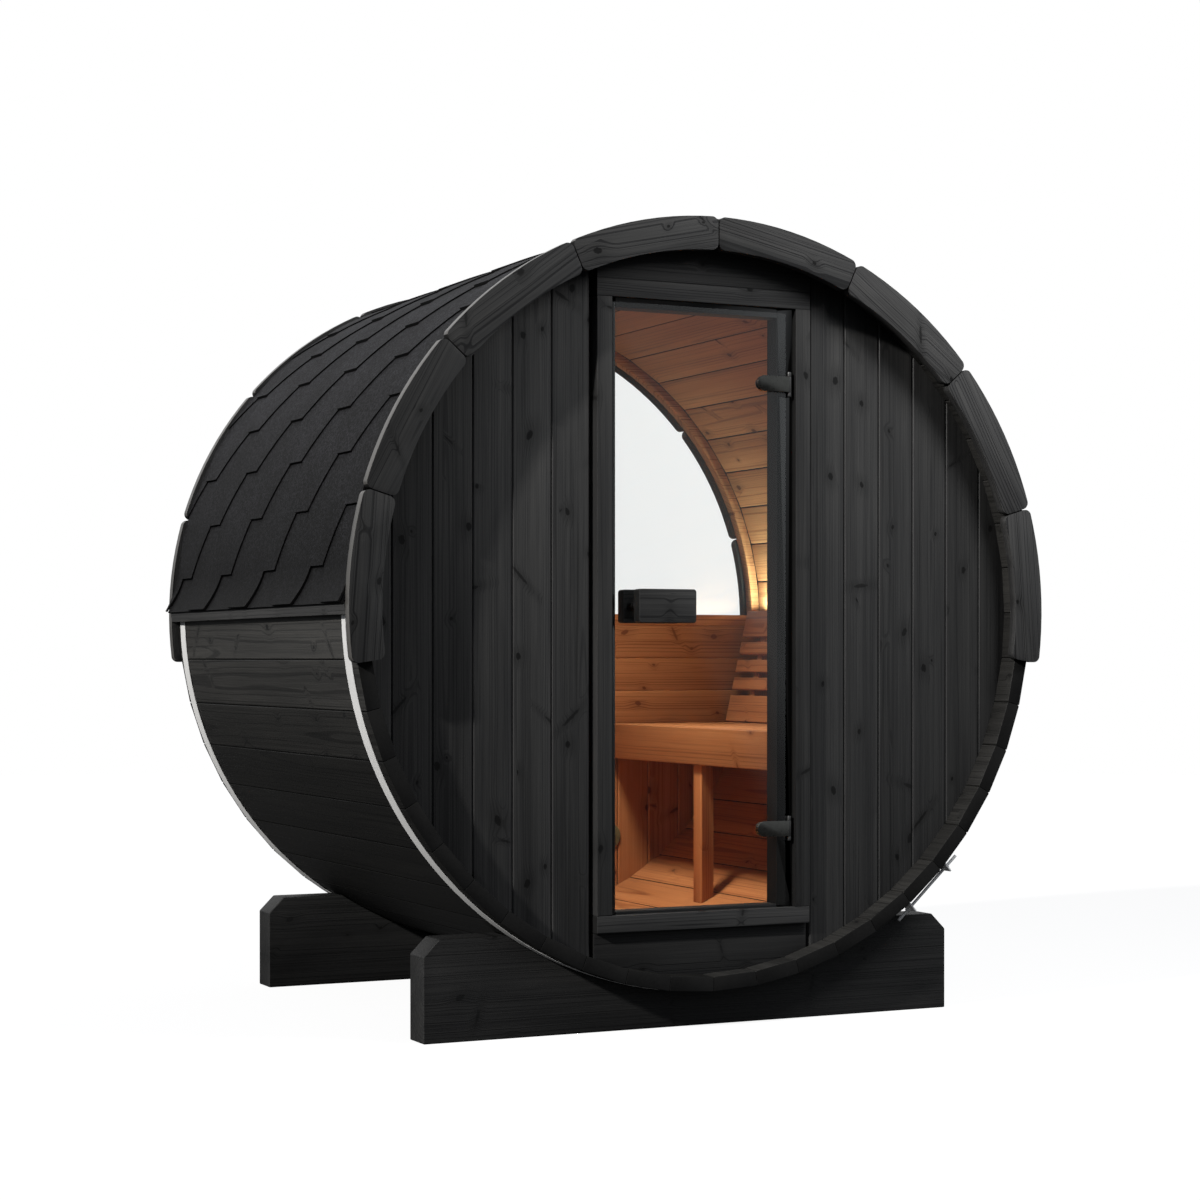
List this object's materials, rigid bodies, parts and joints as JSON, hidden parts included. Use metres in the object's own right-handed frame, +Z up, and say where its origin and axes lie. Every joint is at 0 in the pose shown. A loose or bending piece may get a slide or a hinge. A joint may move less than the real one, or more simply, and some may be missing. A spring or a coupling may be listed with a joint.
{
  "type": "barrel sauna",
  "caption": "Black-stained wooden barrel sauna on cradles, with a shingled upper half, steel bands, a hinged glass door, a half-moon rear window and a bench inside.",
  "frame": {"origin": "on the ground, under the middle of the barrel", "axes": "+Z up, +Y along the barrel from the door end to the window end, +X to the right of a person facing the door"},
  "size_m": [2.002, 1.5, 2.055],
  "materials": {
    "black_wood": "black stained, matte, grain and knots showing",
    "warm_wood": "heat-treated, bare, brown",
    "shingle": "bitumen shingle with fine grit",
    "band_steel": "bright stainless steel",
    "black_metal": "black satin coat",
    "clear_glass": "clear toughened glass",
    "vent_plastic": "matt dark olive"
  },
  "bodies": {
    "cabin": {"front_cradle": "black_wood", "rear_cradle": "black_wood", "staves_upper_right": "black_wood", "staves_crown_right": "black_wood", "staves_crown_left": "black_wood", "staves_upper_left": "black_wood", "staves_lower_left": "black_wood", "staves_floor_left": "black_wood", "staves_floor_right": "black_wood", "staves_lower_right": "black_wood", "front_wall_left": "black_wood", "front_wall_right": "black_wood", "front_wall_over_door": "black_wood", "front_wall_under_door": "black_wood", "door_frame_left": "black_wood", "door_frame_right": "black_wood", "door_frame_head": "black_wood", "door_frame_sill": "black_wood", "rear_wall": "black_wood", "rear_wall_lining": "warm_wood", "rear_window_sill": "warm_wood", "rear_window": "clear_glass", "rear_window_trim": "warm_wood", "vent_cover": "vent_plastic", "front_fascia": "black_wood", "rear_fascia": "black_wood", "roof_left": "shingle", "roof_right": "shingle", "eave_strips": "black_wood", "front_band": "band_steel", "rear_band": "band_steel", "front_band_tensioner": "band_steel", "rear_band_tensioner": "band_steel", "bench_front_rail": "warm_wood", "bench_seat": "warm_wood", "bench_bearers": "warm_wood", "bench_post": "warm_wood", "backrest_slats": "warm_wood", "backrest_brackets": "warm_wood", "hinge_leaves": "black_metal"},
    "door": {"door_glass": "clear_glass", "door_handle_outside": "black_wood", "door_handle_inside": "black_wood", "door_handle_standoffs": "black_metal", "hinge_straps": "black_metal"}
  },
  "joints": [
    {"name": "door_hinge", "type": "hinge", "parent": "cabin", "child": "door", "pos_m": [0.25, -0.671, 1.071], "axis": [0, 0, 1], "range_deg": [0, 100]}
  ]
}
